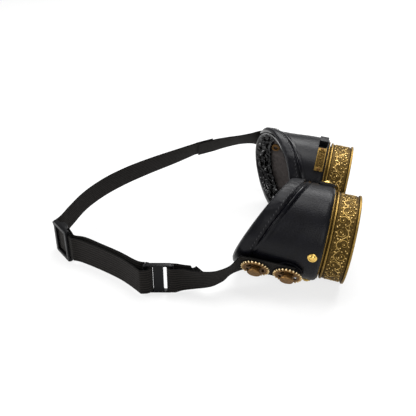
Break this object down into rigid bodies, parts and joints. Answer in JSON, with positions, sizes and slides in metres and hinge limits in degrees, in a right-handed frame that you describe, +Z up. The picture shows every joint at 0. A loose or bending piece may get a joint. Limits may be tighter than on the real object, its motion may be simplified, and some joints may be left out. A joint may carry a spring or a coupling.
{
  "type": "goggles",
  "caption": "Round eye-cup goggles in grained leather with screw-on relief brass bezels, ornamental gears on the temples and an adjustable elastic head strap, lying as put down on a table.",
  "frame": {"origin": "middle of the bounding box in plan, on the table the goggles lie on", "axes": "+X forward out of the lenses, +Y from the wearer's right eye to the left eye, +Z up"},
  "size_m": [0.2198, 0.1692, 0.0713],
  "materials": {
    "antique_brass": "antiqued, dark in the recesses",
    "bright_brass": "polished",
    "lens": "dark tinted",
    "rubber": "matt",
    "lining": "matt black coated cloth",
    "leather": "black, grained, glossy",
    "webbing": "ribbed elastic webbing",
    "plastic": "black moulded"
  },
  "bodies": {
    "goggles": {"right_base_ring": "antique_brass", "right_cup_leather": "leather", "right_cup_lining": "lining", "right_seal_binding": "leather", "right_cup_rivets": "bright_brass", "right_temple_tab": "leather", "right_gear_posts": "bright_brass", "right_post_washers": "bright_brass", "left_base_ring": "antique_brass", "left_cup_leather": "leather", "left_cup_lining": "lining", "left_seal_binding": "leather", "left_cup_rivets": "bright_brass", "left_temple_tab": "leather", "left_gear_posts": "bright_brass", "left_post_washers": "bright_brass", "brow_plate": "antique_brass", "brow_plate_pins": "bright_brass", "brow_clip": "leather", "bridge_strip": "leather", "bridge_rivets": "bright_brass", "right_elastic": "webbing", "left_elastic": "webbing", "long_elastic": "webbing", "long_elastic_return": "webbing"},
    "right_lens_unit": {"right_lens": "lens", "right_lens_gasket": "rubber"},
    "right_bezel_unit": {"right_bezel": "antique_brass"},
    "left_lens_unit": {"left_lens": "lens", "left_lens_gasket": "rubber"},
    "left_bezel_unit": {"left_bezel": "antique_brass"},
    "right_front_gear": {"right_gear_front": "antique_brass"},
    "right_rear_gear": {"right_gear_rear": "antique_brass"},
    "left_front_gear": {"left_gear_front": "antique_brass"},
    "left_rear_gear": {"left_gear_rear": "antique_brass"},
    "ring": {"strap_ring": "plastic"},
    "slider": {"strap_slider": "plastic"}
  },
  "joints": [
    {"name": "right_thread_advance", "type": "slide", "parent": "goggles", "child": "right_lens_unit", "axis": [0.9941, 0, -0.1089], "range_m": [0, 0.0031]},
    {"name": "right_bezel_unscrew", "type": "hinge", "parent": "right_lens_unit", "child": "right_bezel_unit", "pos_m": [0.09861, -0.02895, 0.03174], "axis": [0.9941, 0, -0.1089], "range_deg": [0, 540]},
    {"name": "left_thread_advance", "type": "slide", "parent": "goggles", "child": "left_lens_unit", "axis": [0.9941, 0, -0.1089], "range_m": [0, 0.0031]},
    {"name": "left_bezel_unscrew", "type": "hinge", "parent": "left_lens_unit", "child": "left_bezel_unit", "pos_m": [0.08941, 0.04285, 0.03174], "axis": [0.9941, 0, -0.1089], "range_deg": [0, 540]},
    {"name": "right_front_gear_spin", "type": "hinge", "parent": "goggles", "child": "right_front_gear", "pos_m": [0.06724, -0.06223, 0.01812], "axis": [-0.0494, -0.891, -0.4513], "continuous": true},
    {"name": "right_rear_gear_spin", "type": "hinge", "parent": "goggles", "child": "right_rear_gear", "pos_m": [0.04517, -0.06223, 0.02054], "axis": [-0.0494, -0.891, -0.4513], "continuous": true},
    {"name": "left_front_gear_spin", "type": "hinge", "parent": "goggles", "child": "left_front_gear", "pos_m": [0.0608, 0.07924, 0.04333], "axis": [0.0245, 0.9744, 0.2236], "continuous": true},
    {"name": "left_rear_gear_spin", "type": "hinge", "parent": "goggles", "child": "left_rear_gear", "pos_m": [0.03873, 0.07924, 0.04575], "axis": [0.0245, 0.9744, 0.2236], "continuous": true},
    {"name": "ring_swing", "type": "hinge", "parent": "goggles", "child": "ring", "pos_m": [-0.00938, -0.07498, 0.01205], "axis": [0, 0, 1], "range_deg": [-6, 6]},
    {"name": "slider_shift", "type": "slide", "parent": "goggles", "child": "slider", "axis": [0.766, -0.6428, 0], "range_m": [-0.0025, 0.0025], "deforming": ["long_elastic_return"]}
  ],
  "couplings": [
    {"joint": "right_thread_advance", "follows": "right_bezel_unscrew", "m_per_rad": 0.00031831},
    {"joint": "left_thread_advance", "follows": "left_bezel_unscrew", "m_per_rad": 0.00031831}
  ]
}
